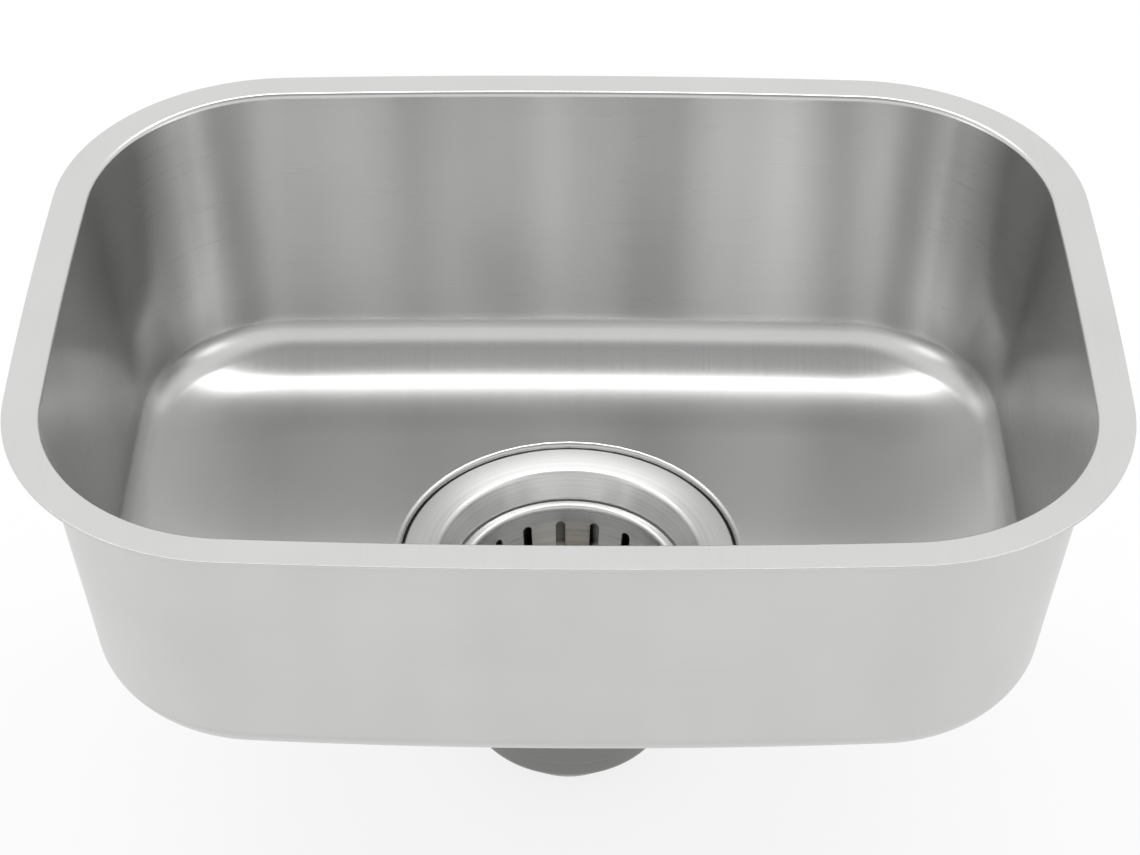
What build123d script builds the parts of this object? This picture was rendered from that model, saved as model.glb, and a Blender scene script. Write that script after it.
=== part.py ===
from build123d import *
import math
import os

# An undermount kitchen sink: one pressed stainless bowl with a flange that the counter lies on,
# and a basket strainer clamped through its floor. Millimetres, +Z up. The origin is the middle of
# the rim's top plane, where the counter's underside meets the flange. X runs along the sink.

# ---- Bowl, pressed from one sheet -------------------------------------------------------------
RIM_LENGTH = 347.6        # over the flange, along X
RIM_WIDTH = 260.0         # over the flange, along Y
END_BOW_R = 2170.0        # the short sides are very slightly bowed outward
SIDE_BOW_R = 2340.0       # and so are the long sides
RIM_CORNER_R = 75.2       # plan radius of the flange's corners
SHEET = 1.2
FLANGE_WIDTH = 11.4       # from the rim's edge to where wall and flange planes would meet
LIP_R = 2.0               # the rolled edge between the flange and the wall
RIM_EDGE_R = 0.35         # the sheared edge is deburred
WALL_DRAFT = 6.5          # degrees; every wall leans outward towards the top
BOWL_DEPTH = 110.5        # rim plane to the floor at the drain
FLOOR_CORNER_R = 22.0     # wall to floor
FLOOR_DISH_R = 6500.0     # the floor falls gently to the drain

# ---- Drain recess in the floor ----------------------------------------------------------------
RECESS_DEPTH = 4.6
RECESS_LIP_R = 2.0        # the floor rolls over into the recess
RECESS_FOOT_R = 1.5
RECESS_GAP = 0.85         # round the strainer's flange

# ---- Strainer body ----------------------------------------------------------------------------
STRAINER_WALL = 1.2
STRAINER_EDGE_R = 0.5
FLANGE_RISE = 0.1         # slope of the flange, higher at its outer edge
SHOULDER_R = 2.6          # from the flange over into the mouth
MOUTH_DRAFT = 30.6        # degrees from vertical
LEDGE_DROP = 12.9         # bowl floor down to the ledge that the basket stands on
POCKET_HEIGHT = 2.8       # straight wall above the ledge
THROAT_R = 39.0           # below the ledge
THROAT_LENGTH = 16.3
LEDGE_WIDTH = 1.9
LEDGE_EDGE_R = 0.5
THREAD_WALL = 2.0         # from the pocket's wall out to the thread
CUP_STEP = 4.2            # from the throat in to the lower cup's wall
THROAT_STEP_R = 2.0       # at both ends of that step
CONE_BEND_R = 3.0
CONE_HEIGHT = 15.06       # from the bottom edge up to the lower cup, outside
STRAINER_DEPTH = 87.2     # bowl floor down to the strainer's bottom edge
DRAIN_HOLE_GAP = 5.4      # from the pocket's wall out to the bowl's drain hole

# ---- Outlet -----------------------------------------------------------------------------------
TAILPIECE_R = 19.05       # a 1 1/2 inch tailpiece slides in
TAILPIECE_GAP = 0.25
SLEEVE_WALL = 0.9
SLEEVE_HEIGHT = 4.0       # stands up inside the strainer
TAILPIECE_STOP = 0.8      # the sleeve's top leans in by this much, and a tailpiece stops there
COLLAR_WALL = 1.9         # below the strainer
COLLAR_HEIGHT = 1.3
COLLAR_CHAMFER = 0.3
CONE_EDGE_WIDTH = 1.1     # flat edge of the strainer outside the collar
CROSSBAR_SHEET = 1.2
CROSSBAR_WIDTH = 3.4
CROSSBAR_ARMS = 4
CROSSBAR_TURN = 45.0      # degrees
CROSSBAR_RING_WIDTH = 3.5
HUB_WALL = 2.8

# ---- Clamping stack ---------------------------------------------------------------------------
FLANGE_GASKET_T = 1.5     # at its inner edge
FLANGE_GASKET_GAP = 1.0   # round the drain hole
FLANGE_GASKET_WIDTH = 8.95
FLANGE_OVERHANG = 0.9     # the strainer's flange reaches past its gasket
RUBBER_WASHER_T = 3.0
RUBBER_WASHER_GAP = 0.5
FIBRE_WASHER_T = 1.2
FIBRE_WASHER_GAP = 0.5
WASHER_STEP = 1.0         # each washer and the nut is this much smaller than the one above
NUT_THREAD_GAP = 0.1
NUT_FLANGE_T = 3.0
NUT_HUB_WALL = 4.4
NUT_HEIGHT = 12.0
NUT_LUGS = 8
NUT_LUG_WIDTH = 9.0
NUT_LUG_REACH = 3.6       # beyond the hub
NUT_EDGE_R = 0.8

# ---- Basket -----------------------------------------------------------------------------------
BASKET_SHEET = 0.9
BASKET_RIM_GAP = 0.6      # to the pocket's wall
BASKET_RIM_WIDTH = 3.3
BASKET_RIM_HEIGHT = 2.2   # the curled rim stands on the ledge
BASKET_RIM_ROLL_R = 0.8
BASKET_MOUTH_ROLL_R = 1.5
BASKET_THROAT_GAP = 3.7   # from the throat in to the top of the slotted wall
BASKET_SHOULDER_DROP = 6.0
BASKET_TAPER = 3.3        # the slotted wall comes in by this much down to the floor
BASKET_CORNER_R = 6.0
BASKET_DEPTH = 33.5       # rim top to floor
SLOTS = 18
SLOT_WIDTH = 3.4
SLOT_PHASE = -5.2         # degrees from +Y towards +X of the slot nearest the back
SLOT_TOP_DROP = 5.8       # rim top to the slot's rounded top
SLOT_LENGTH = 17.0
FLOOR_HOLES = 12
FLOOR_HOLE_R = 2.3
FLOOR_HOLE_CIRCLE_R = 20.0

# ---- Guide bush in the basket's floor ---------------------------------------------------------
POST_R = 3.0
POST_FIT = 0.08           # running fit in the bush
BUSH_R = 6.0
BUSH_FLANGE_R = 9.0
BUSH_FLANGE_T = 1.6
BUSH_CHAMFER = 0.5
BUSH_HOLE_GAP = 0.05
BUSH_LENGTH = 7.5         # below the flange
BUSH_WASHER_T = 0.8
BUSH_WASHER_R = 9.5
BUSH_NUT_T = 4.0
BUSH_NUT_ACROSS = 16.0
RING_WIRE_R = 0.45        # rubber grip ring in the bush
RING_POST_GAP = 0.3
RING_GROOVE_GAP = 0.05
RING_DROP = 2.6           # bush flange's underside to the ring's middle

# ---- Stopper, on a post through the bush ------------------------------------------------------
STOPPER_LIFT = 8.0
STOP_GAP = 0.3            # between clip and bush when the knob is up
KNOB_TOP_DROP = 8.0       # bowl floor down to the knob's top
KNOB_R = 9.6
KNOB_HEAD_T = 5.4
KNOB_HEAD_R = 2.4
KNOB_NECK_R = 4.6
KNOB_NECK_FILLET_R = 3.0
KNOB_HEIGHT = 12.5
POST_THREAD_R = 2.5
THREAD_FIT = 0.05
POST_END_GAP = 0.5        # inside the knob
KNOB_THREAD_DEPTH = 8.0
JAM_NUT_T = 2.5
JAM_NUT_ACROSS = 8.0
SEAT_GAP = 0.3            # stopper rubber to the cone when the knob is down
SEAL_T = 3.2
POST_NUT_GAP = 0.6        # to the crossbar when the knob is down
SEAL_PLATE_R = 27.0
SEAL_PLATE_T = 1.2
SEAL_PLATE_RIM = 1.6      # turned-up edge of the plate
POST_COLLAR_R = 5.0
POST_COLLAR_T = 2.0
RETAINER_R = 14.0
RETAINER_T = 1.0
SPRING_WASHER_R = 4.6
SPRING_WASHER_T = 0.8
SPRING_WASHER_CUT = 1.0
POST_NUT_T = 3.2
POST_NUT_ACROSS = 8.0
POST_TIP_CHAMFER = 0.6
POST_TIP_GAP = 0.7        # in the crossbar's hub
CLIP_R = 5.6
CLIP_T = 1.0
CLIP_GROOVE_R = 2.4
CLIP_OPENING = 3.8

# ---- Levels and radii that follow -------------------------------------------------------------
FLOOR_Z = -BOWL_DEPTH
RECESS_Z = FLOOR_Z - RECESS_DEPTH
UNDER_RECESS_Z = RECESS_Z - SHEET
FLANGE_SEAT_Z = RECESS_Z + FLANGE_GASKET_T
LEDGE_Z = FLOOR_Z - LEDGE_DROP
POCKET_R = THROAT_R + LEDGE_WIDTH
THREAD_R = POCKET_R + THREAD_WALL
DRAIN_HOLE_R = POCKET_R + DRAIN_HOLE_GAP
FLANGE_GASKET_IN_R = DRAIN_HOLE_R + FLANGE_GASKET_GAP
FLANGE_GASKET_OUT_R = FLANGE_GASKET_IN_R + FLANGE_GASKET_WIDTH
STRAINER_FLANGE_R = FLANGE_GASKET_OUT_R + FLANGE_OVERHANG   # a 4 1/2 inch flange
RECESS_R = STRAINER_FLANGE_R + RECESS_GAP
POCKET_TOP_Z = LEDGE_Z + POCKET_HEIGHT
THROAT_END_Z = LEDGE_Z - THROAT_LENGTH
CUP_R = THROAT_R - CUP_STEP
CUP_OUT_R = CUP_R + STRAINER_WALL
CUP_TOP_Z = THROAT_END_Z - (THROAT_R - CUP_R)
STRAINER_BOTTOM_Z = FLOOR_Z - STRAINER_DEPTH
TAILPIECE_BORE_R = TAILPIECE_R + TAILPIECE_GAP
OUTLET_R = TAILPIECE_BORE_R - TAILPIECE_STOP
SLEEVE_R = TAILPIECE_BORE_R + SLEEVE_WALL
SLEEVE_TOP_Z = STRAINER_BOTTOM_Z + SLEEVE_HEIGHT
COLLAR_R = TAILPIECE_BORE_R + COLLAR_WALL
CONE_EDGE_R = COLLAR_R + CONE_EDGE_WIDTH
CONE_DRAFT = math.degrees(math.atan2(CUP_OUT_R - CONE_EDGE_R, CONE_HEIGHT))
HUB_HOLE_R = POST_THREAD_R + POST_TIP_GAP
NUT_TOP_Z = UNDER_RECESS_Z - RUBBER_WASHER_T - FIBRE_WASHER_T
NUT_BORE_R = THREAD_R + NUT_THREAD_GAP
BASKET_RIM_R = POCKET_R - BASKET_RIM_GAP
BASKET_MOUTH_R = BASKET_RIM_R - BASKET_RIM_WIDTH
BASKET_SHOULDER_R = THROAT_R - BASKET_THROAT_GAP
BASKET_FOOT_R = BASKET_SHOULDER_R - BASKET_TAPER
BASKET_TOP_Z = LEDGE_Z + BASKET_RIM_HEIGHT
BASKET_FLOOR_Z = BASKET_TOP_Z - BASKET_DEPTH
UNDER_BASKET_Z = BASKET_FLOOR_Z - BASKET_SHEET
BUSH_BORE_R = POST_R + POST_FIT
BUSH_END_Z = BASKET_FLOOR_Z - BUSH_LENGTH
RING_MID_R = POST_R + RING_POST_GAP + RING_WIRE_R
RING_Z = BASKET_FLOOR_Z - RING_DROP
KNOB_TOP_Z = FLOOR_Z - KNOB_TOP_DROP
KNOB_BOTTOM_Z = KNOB_TOP_Z - KNOB_HEIGHT
CLIP_TOP_Z = BUSH_END_Z - STOPPER_LIFT - STOP_GAP
POST_NUT_TOP_Z = SLEEVE_TOP_Z + CROSSBAR_SHEET + POST_NUT_GAP + POST_NUT_T
SPRING_WASHER_TOP_Z = POST_NUT_TOP_Z + SPRING_WASHER_T
SEAL_BOTTOM_Z = SPRING_WASHER_TOP_Z + RETAINER_T
SEAL_TOP_Z = SEAL_BOTTOM_Z + SEAL_T
SEAL_PLATE_TOP_Z = SEAL_TOP_Z + SEAL_PLATE_T

STANDING = (Align.CENTER, Align.CENTER, Align.MIN)


def slope(angle):
    """Sideways travel per millimetre of height of a line that leans by `angle` degrees."""
    return math.tan(math.radians(angle))


def sideways(thickness, angle):
    """A wall's thickness measured level, where the wall leans by `angle` degrees."""
    return thickness / math.cos(math.radians(angle))


def lathe(*corners):
    """Turn a closed section about Z. A corner is (radius, height) or (radius, height, rounding)."""
    section = Sketch() + make_face(Polyline([corner[:2] for corner in corners], close=True))
    for corner in corners:
        if len(corner) == 3:
            vertex = section.vertices().sort_by_distance((corner[0], corner[1], 0))[0]
            section = fillet(vertex, corner[2])
    return revolve(Plane.XZ * section, Axis.Z)


def ring(inner_r, outer_r, bottom_z, top_z):
    """A flat washer."""
    return lathe((inner_r, bottom_z), (outer_r, bottom_z), (outer_r, top_z), (inner_r, top_z))


def hexagon_nut(across, bore_r, bottom_z, height):
    """A hexagon nut with its top and bottom corners turned off."""
    blank = Pos(0, 0, bottom_z) * extrude(RegularPolygon(across / 2, 6, major_radius=False), height)
    corner_r = across / 2 / math.cos(math.pi / 6)
    turned_r = across / 2 + 0.1 * (corner_r - across / 2)
    cut = (corner_r - turned_r) * math.tan(math.radians(30))
    envelope = lathe(
        (bore_r, bottom_z), (turned_r, bottom_z), (corner_r, bottom_z + cut),
        (corner_r, bottom_z + height - cut), (turned_r, bottom_z + height),
        (bore_r, bottom_z + height))
    return blank & envelope


def bowed_outline(inset):
    """The rim's plan, moved in by `inset`: four shallow arcs joined by corner arcs."""
    half_length, half_width = RIM_LENGTH / 2 - inset, RIM_WIDTH / 2 - inset
    end_r, side_r = END_BOW_R - inset, SIDE_BOW_R - inset
    end_arc, side_arc = Circle(end_r), Circle(side_r)
    plan = Pos(half_length - end_r, 0) * end_arc & Pos(end_r - half_length, 0) * end_arc
    plan &= Pos(0, half_width - side_r) * side_arc
    plan &= Pos(0, side_r - half_width) * side_arc
    return fillet(plan.vertices(), RIM_CORNER_R - inset)


def pressed_form(skin):
    """All the space over a surface that lies `skin` below the bowl's wetted side.

    The difference of two such forms is the sheet, equally thick over every bend.
    """
    over = Pos(0, 0, -skin) * Box(2 * RIM_LENGTH, 2 * RIM_WIDTH, 2 * LIP_R, align=STANDING)
    mouth = bowed_outline(FLANGE_WIDTH - sideways(skin, WALL_DRAFT))
    well = extrude(mouth, -BOWL_DEPTH - 2 * SHEET, taper=WALL_DRAFT)
    well &= Pos(0, 0, FLOOR_DISH_R + FLOOR_Z) * Sphere(FLOOR_DISH_R + skin)
    well = fillet(well.faces().sort_by(Axis.Z)[0].edges(), FLOOR_CORNER_R + skin)
    recess_r = RECESS_R + skin
    recess = Pos(0, 0, RECESS_Z - skin) * Cylinder(recess_r, FLOOR_CORNER_R, align=STANDING)
    recess = fillet(recess.edges().sort_by(Axis.Z)[0], RECESS_FOOT_R + skin)
    form = over + well + recess
    round_floor_edges = form.edges().filter_by(GeomType.CIRCLE).filter_by(
        lambda edge: abs(edge.radius - recess_r) < SHEET / 10
        and edge.center().Z < FLOOR_Z + RECESS_DEPTH)
    form = fillet(round_floor_edges.sort_by(Axis.Z)[-1], RECESS_LIP_R - skin)
    level = form.edges().filter_by_position(Axis.Z, -skin - SHEET / 10, -skin + SHEET / 10)
    return fillet(level.filter_by(GeomType.LINE, reverse=True), LIP_R - skin)


def make_bowl():
    """Flange, walls, dished floor and drain recess, as one sheet of even thickness."""
    blank = Pos(0, 0, -2 * BOWL_DEPTH) * extrude(bowed_outline(0), 2 * BOWL_DEPTH)
    blank = fillet(blank.faces().sort_by(Axis.Z)[-1].edges(), RIM_EDGE_R)
    sheet = (pressed_form(SHEET) - pressed_form(0)) & blank
    return sheet - Pos(0, 0, RECESS_Z) * Cylinder(DRAIN_HOLE_R, 4 * SHEET)


def flange_top(radius):
    """Height of the strainer flange's upper side at a radius."""
    return FLANGE_SEAT_Z + STRAINER_WALL + FLANGE_RISE * (radius - FLANGE_GASKET_IN_R)


def mouth_at(height, skin=0):
    """Radius of the strainer's mouth at a height, `skin` outside its wetted side."""
    lean = slope(MOUTH_DRAFT)
    return POCKET_R + sideways(skin, MOUTH_DRAFT) + (height - POCKET_TOP_Z) * lean


def mouth_corner(skin=0):
    """Where the mouth's wall would meet the flange, `skin` outside its wetted side."""
    start_r = mouth_at(POCKET_TOP_Z, skin)
    rise = flange_top(start_r) - skin - POCKET_TOP_Z
    height = POCKET_TOP_Z + rise / (1 - slope(MOUTH_DRAFT) * FLANGE_RISE)
    return mouth_at(height, skin), height


def cone_at(height, skin=0):
    """Radius of the strainer's cone at a height, `skin` outside its wetted side."""
    outside = CONE_EDGE_R + (height - STRAINER_BOTTOM_Z) * slope(CONE_DRAFT)
    return outside - sideways(STRAINER_WALL - skin, CONE_DRAFT)


def cone_top(skin=0):
    """Height at which the strainer's cone reaches the lower cup's wall."""
    rise = (CUP_R + skin - cone_at(STRAINER_BOTTOM_Z, skin)) / slope(CONE_DRAFT)
    return STRAINER_BOTTOM_Z + rise


def make_strainer_body():
    """Flange, mouth, pocket for the basket's rim, threaded throat, lower cup and cone."""
    wall = STRAINER_WALL
    step_out = THROAT_END_Z - THROAT_R - sideways(wall, 45)
    return lathe(
        (cone_at(STRAINER_BOTTOM_Z), STRAINER_BOTTOM_Z),
        (CUP_R, cone_top(), CONE_BEND_R),
        (CUP_R, CUP_TOP_Z, THROAT_STEP_R),
        (THROAT_R, THROAT_END_Z, THROAT_STEP_R),
        (THROAT_R, LEDGE_Z, LEDGE_EDGE_R),
        (POCKET_R, LEDGE_Z),
        (POCKET_R, POCKET_TOP_Z),
        (*mouth_corner(), SHOULDER_R),
        (STRAINER_FLANGE_R, flange_top(STRAINER_FLANGE_R), STRAINER_EDGE_R),
        (STRAINER_FLANGE_R, flange_top(STRAINER_FLANGE_R) - wall, STRAINER_EDGE_R),
        (*mouth_corner(wall), SHOULDER_R - wall),
        (THREAD_R, POCKET_TOP_Z + (THREAD_R - mouth_at(POCKET_TOP_Z, wall)) / slope(MOUTH_DRAFT)),
        (THREAD_R, step_out + THREAD_R),
        (CUP_OUT_R, step_out + CUP_OUT_R, THROAT_STEP_R),
        (CUP_OUT_R, cone_top(wall), CONE_BEND_R + wall),
        (CONE_EDGE_R, STRAINER_BOTTOM_Z))


def make_outlet_ring():
    """The sleeve that takes the tailpiece up to its leaning top, and its collar below."""
    return lathe(
        (TAILPIECE_BORE_R, STRAINER_BOTTOM_Z - COLLAR_HEIGHT),
        (COLLAR_R - COLLAR_CHAMFER, STRAINER_BOTTOM_Z - COLLAR_HEIGHT),
        (COLLAR_R, STRAINER_BOTTOM_Z - COLLAR_HEIGHT + COLLAR_CHAMFER),
        (COLLAR_R, STRAINER_BOTTOM_Z),
        (SLEEVE_R, STRAINER_BOTTOM_Z),
        (SLEEVE_R, SLEEVE_TOP_Z),
        (OUTLET_R, SLEEVE_TOP_Z),
        (TAILPIECE_BORE_R, SLEEVE_TOP_Z - TAILPIECE_STOP))


def make_crossbar():
    """The stamped spider over the outlet, with a hub that the stopper's post enters."""
    outer = Circle(OUTLET_R + CROSSBAR_RING_WIDTH) - Circle(OUTLET_R)
    hub = Circle(HUB_HOLE_R + HUB_WALL)
    arm_length = OUTLET_R - HUB_HOLE_R
    arm = Pos(HUB_HOLE_R + arm_length / 2, 0) * Rectangle(arm_length + HUB_WALL, CROSSBAR_WIDTH)
    spider = outer + hub
    for index in range(CROSSBAR_ARMS):
        spider += Rot(0, 0, 360 / CROSSBAR_ARMS * index + CROSSBAR_TURN) * arm
    return Pos(0, 0, SLEEVE_TOP_Z) * extrude(spider - Circle(HUB_HOLE_R), CROSSBAR_SHEET)


def make_flange_gasket():
    """The sealing ring under the strainer's flange; its top follows the flange's slope."""
    return lathe(
        (FLANGE_GASKET_IN_R, RECESS_Z),
        (FLANGE_GASKET_OUT_R, RECESS_Z),
        (FLANGE_GASKET_OUT_R, flange_top(FLANGE_GASKET_OUT_R) - STRAINER_WALL),
        (FLANGE_GASKET_IN_R, FLANGE_SEAT_Z))


def make_rubber_washer():
    inner_r = mouth_at(UNDER_RECESS_Z, STRAINER_WALL) + RUBBER_WASHER_GAP
    bottom_z = UNDER_RECESS_Z - RUBBER_WASHER_T
    return ring(inner_r, FLANGE_GASKET_OUT_R, bottom_z, UNDER_RECESS_Z)


def make_fibre_washer():
    inner_r = THREAD_R + FIBRE_WASHER_GAP
    outer_r = FLANGE_GASKET_OUT_R - WASHER_STEP
    return ring(inner_r, outer_r, NUT_TOP_Z, NUT_TOP_Z + FIBRE_WASHER_T)


def make_lock_nut():
    """The large ring nut, with lugs round its hub for a wrench."""
    hub_r = NUT_BORE_R + NUT_HUB_WALL
    hub = Sketch() + Circle(hub_r)
    for index in range(NUT_LUGS):
        lug = Pos(hub_r, 0) * Rectangle(2 * NUT_LUG_REACH, NUT_LUG_WIDTH)
        hub += Rot(0, 0, 360 / NUT_LUGS * index) * lug
    outer_corners = hub.vertices().filter_by(
        lambda vertex: math.hypot(vertex.X, vertex.Y) > hub_r + NUT_LUG_REACH / 2)
    hub = fillet(outer_corners, NUT_EDGE_R) - Circle(NUT_BORE_R)
    flange_r = FLANGE_GASKET_OUT_R - 2 * WASHER_STEP
    flange = ring(NUT_BORE_R, flange_r, NUT_TOP_Z - NUT_FLANGE_T, NUT_TOP_Z)
    return flange + Pos(0, 0, NUT_TOP_Z - NUT_HEIGHT) * extrude(hub, NUT_HEIGHT - NUT_FLANGE_T)


def make_basket_cup():
    """The pressed cup: a curled rim that stands on the ledge, a slotted wall, a drilled floor."""
    sheet = BASKET_SHEET
    shoulder_z = BASKET_TOP_Z - BASKET_SHOULDER_DROP
    cup = lathe(
        (BUSH_R + BUSH_HOLE_GAP, BASKET_FLOOR_Z),
        (BASKET_FOOT_R, BASKET_FLOOR_Z, BASKET_CORNER_R),
        (BASKET_SHOULDER_R, shoulder_z, BASKET_CORNER_R),
        (BASKET_MOUTH_R, BASKET_TOP_Z, BASKET_MOUTH_ROLL_R),
        (BASKET_RIM_R, BASKET_TOP_Z, BASKET_RIM_ROLL_R),
        (BASKET_RIM_R, LEDGE_Z),
        (BASKET_RIM_R - sheet, LEDGE_Z),
        (BASKET_RIM_R - sheet, BASKET_TOP_Z - sheet),
        (BASKET_MOUTH_R + sheet, BASKET_TOP_Z - sheet, BASKET_MOUTH_ROLL_R - sheet),
        (BASKET_SHOULDER_R + sheet, shoulder_z, BASKET_CORNER_R),
        (BASKET_FOOT_R + sheet, BASKET_FLOOR_Z - sheet, BASKET_CORNER_R + sheet),
        (BUSH_R + BUSH_HOLE_GAP, BASKET_FLOOR_Z - sheet))
    slot_z = BASKET_TOP_Z - SLOT_TOP_DROP - SLOT_LENGTH / 2
    inside_r = BASKET_FOOT_R - BASKET_CORNER_R
    slot_face = Plane.YZ * Rot(0, 0, 90) * SlotOverall(SLOT_LENGTH, SLOT_WIDTH)
    slot = Pos(inside_r, 0, slot_z) * extrude(slot_face, BASKET_RIM_R - inside_r)
    for index in range(SLOTS):
        cup -= Rot(0, 0, 90 - SLOT_PHASE + 360 / SLOTS * index) * slot
    hole = Pos(FLOOR_HOLE_CIRCLE_R, 0, BASKET_FLOOR_Z) * Cylinder(FLOOR_HOLE_R, 4 * sheet)
    for index in range(FLOOR_HOLES):
        cup -= Rot(0, 0, 360 / FLOOR_HOLES * (index + 0.5)) * hole
    return cup


def make_guide_bush():
    """The flanged bush that carries the post, with an inside groove for the grip ring."""
    bush = lathe(
        (BUSH_BORE_R, BUSH_END_Z),
        (BUSH_R - BUSH_CHAMFER, BUSH_END_Z),
        (BUSH_R, BUSH_END_Z + BUSH_CHAMFER),
        (BUSH_R, BASKET_FLOOR_Z),
        (BUSH_FLANGE_R, BASKET_FLOOR_Z),
        (BUSH_FLANGE_R, BASKET_FLOOR_Z + BUSH_FLANGE_T - BUSH_CHAMFER),
        (BUSH_FLANGE_R - BUSH_CHAMFER, BASKET_FLOOR_Z + BUSH_FLANGE_T),
        (BUSH_BORE_R, BASKET_FLOOR_Z + BUSH_FLANGE_T))
    groove_r = RING_MID_R + RING_WIRE_R + RING_GROOVE_GAP
    half = RING_WIRE_R + RING_GROOVE_GAP
    return bush - ring(POST_R, groove_r, RING_Z - half, RING_Z + half)


def make_post():
    """The turned post: knob thread, running length, clip groove, collar and pilot tip."""
    collar_z = SEAL_PLATE_TOP_Z
    tip_z = SLEEVE_TOP_Z
    return lathe(
        (0, tip_z),
        (POST_THREAD_R - POST_TIP_CHAMFER, tip_z),
        (POST_THREAD_R, tip_z + POST_TIP_CHAMFER),
        (POST_THREAD_R, collar_z),
        (POST_COLLAR_R, collar_z),
        (POST_COLLAR_R, collar_z + POST_COLLAR_T),
        (POST_R, collar_z + POST_COLLAR_T),
        (POST_R, CLIP_TOP_Z - CLIP_T),
        (CLIP_GROOVE_R, CLIP_TOP_Z - CLIP_T),
        (CLIP_GROOVE_R, CLIP_TOP_Z),
        (POST_R, CLIP_TOP_Z),
        (POST_R, KNOB_BOTTOM_Z - JAM_NUT_T),
        (POST_THREAD_R, KNOB_BOTTOM_Z - JAM_NUT_T),
        (POST_THREAD_R, KNOB_BOTTOM_Z + KNOB_THREAD_DEPTH),
        (0, KNOB_BOTTOM_Z + KNOB_THREAD_DEPTH))


def make_knob():
    """A mushroom knob with a blind threaded hole for the post."""
    bore_r = POST_THREAD_R + THREAD_FIT
    bore_z = KNOB_BOTTOM_Z + KNOB_THREAD_DEPTH + POST_END_GAP
    head_z = KNOB_TOP_Z - KNOB_HEAD_T
    return lathe(
        (bore_r, KNOB_BOTTOM_Z),
        (KNOB_NECK_R, KNOB_BOTTOM_Z),
        (KNOB_NECK_R, head_z, KNOB_NECK_FILLET_R),
        (KNOB_R, head_z, KNOB_HEAD_R / 2),
        (KNOB_R, KNOB_TOP_Z, KNOB_HEAD_R),
        (0, KNOB_TOP_Z),
        (0, bore_z),
        (bore_r, bore_z))


def make_stop_clip():
    """The open clip in the post's groove; it meets the bush when the knob is pulled up."""
    clip = Circle(CLIP_R) - Circle(CLIP_GROOVE_R)
    clip -= Pos(CLIP_R, 0) * Rectangle(2 * CLIP_R, CLIP_OPENING)
    return Pos(0, 0, CLIP_TOP_Z - CLIP_T) * extrude(clip, CLIP_T)


def make_seal_plate():
    """The steel disc that backs the rubber, with a turned-up edge."""
    inside_r = SEAL_PLATE_R - SEAL_PLATE_T
    rim_z = SEAL_PLATE_TOP_Z + SEAL_PLATE_RIM
    return lathe(
        (POST_THREAD_R + THREAD_FIT, SEAL_TOP_Z),
        (SEAL_PLATE_R, SEAL_TOP_Z, SEAL_PLATE_T),
        (SEAL_PLATE_R, rim_z),
        (inside_r, rim_z),
        (inside_r, SEAL_PLATE_TOP_Z),
        (POST_THREAD_R + THREAD_FIT, SEAL_PLATE_TOP_Z))


def make_stopper_seal():
    """The rubber disc, whose edge lies along the strainer's cone when the knob is down."""
    gap = sideways(SEAT_GAP, CONE_DRAFT)
    return lathe(
        (POST_THREAD_R + THREAD_FIT, SEAL_BOTTOM_Z),
        (cone_at(SEAL_BOTTOM_Z) - gap, SEAL_BOTTOM_Z),
        (cone_at(SEAL_TOP_Z) - gap, SEAL_TOP_Z),
        (POST_THREAD_R + THREAD_FIT, SEAL_TOP_Z))


def make_spring_washer():
    """A split washer under the retainer."""
    washer = Circle(SPRING_WASHER_R) - Circle(POST_THREAD_R + THREAD_FIT)
    washer -= Pos(SPRING_WASHER_R, 0) * Rectangle(2 * SPRING_WASHER_R, SPRING_WASHER_CUT)
    return Pos(0, 0, POST_NUT_TOP_Z) * extrude(washer, SPRING_WASHER_T)


def make_nuts():
    """The three small hexagon nuts, by name."""
    thread_r = POST_THREAD_R + THREAD_FIT
    bush_nut_z = UNDER_BASKET_Z - BUSH_WASHER_T - BUSH_NUT_T
    return {
        "bush_nut": hexagon_nut(BUSH_NUT_ACROSS, BUSH_R + THREAD_FIT, bush_nut_z, BUSH_NUT_T),
        "knob_nut": hexagon_nut(JAM_NUT_ACROSS, thread_r, KNOB_BOTTOM_Z - JAM_NUT_T, JAM_NUT_T),
        "post_nut": hexagon_nut(
            POST_NUT_ACROSS, thread_r, POST_NUT_TOP_Z - POST_NUT_T, POST_NUT_T),
    }


nodes = {
    "bowl": make_bowl(),
    "flange_gasket": make_flange_gasket(),
    "strainer_body": make_strainer_body(),
    "outlet_ring": make_outlet_ring(),
    "crossbar": make_crossbar(),
    "rubber_washer": make_rubber_washer(),
    "fibre_washer": make_fibre_washer(),
    "lock_nut": make_lock_nut(),
    "basket_cup": make_basket_cup(),
    "guide_bush": make_guide_bush(),
    "grip_ring": Pos(0, 0, RING_Z) * Torus(RING_MID_R, RING_WIRE_R),
    "bush_washer": ring(
        BUSH_R + BUSH_HOLE_GAP, BUSH_WASHER_R, UNDER_BASKET_Z - BUSH_WASHER_T, UNDER_BASKET_Z),
    "post": make_post(),
    "knob": make_knob(),
    "stop_clip": make_stop_clip(),
    "seal_plate": make_seal_plate(),
    "stopper_seal": make_stopper_seal(),
    "seal_retainer": ring(
        POST_THREAD_R + THREAD_FIT, RETAINER_R, SPRING_WASHER_TOP_Z, SEAL_BOTTOM_Z),
    "spring_washer": make_spring_washer(),
    **make_nuts(),
}

os.makedirs("parts", exist_ok=True)
for name, solid in nodes.items():
    export_step(solid, f"parts/{name}.step")
print(len(nodes), "nodes written")
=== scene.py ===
# %% [markdown]
# An undermount kitchen sink. It is one small bowl, pressed from brushed stainless steel, with a
# basket strainer clamped through its floor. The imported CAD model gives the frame: every piece
# made here sits where its CAD solid sits, in metres, with the middle of the rim at the origin.

# %% Load the frame
import math

import bmesh
import bpy
from mathutils import Matrix, Vector


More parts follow.
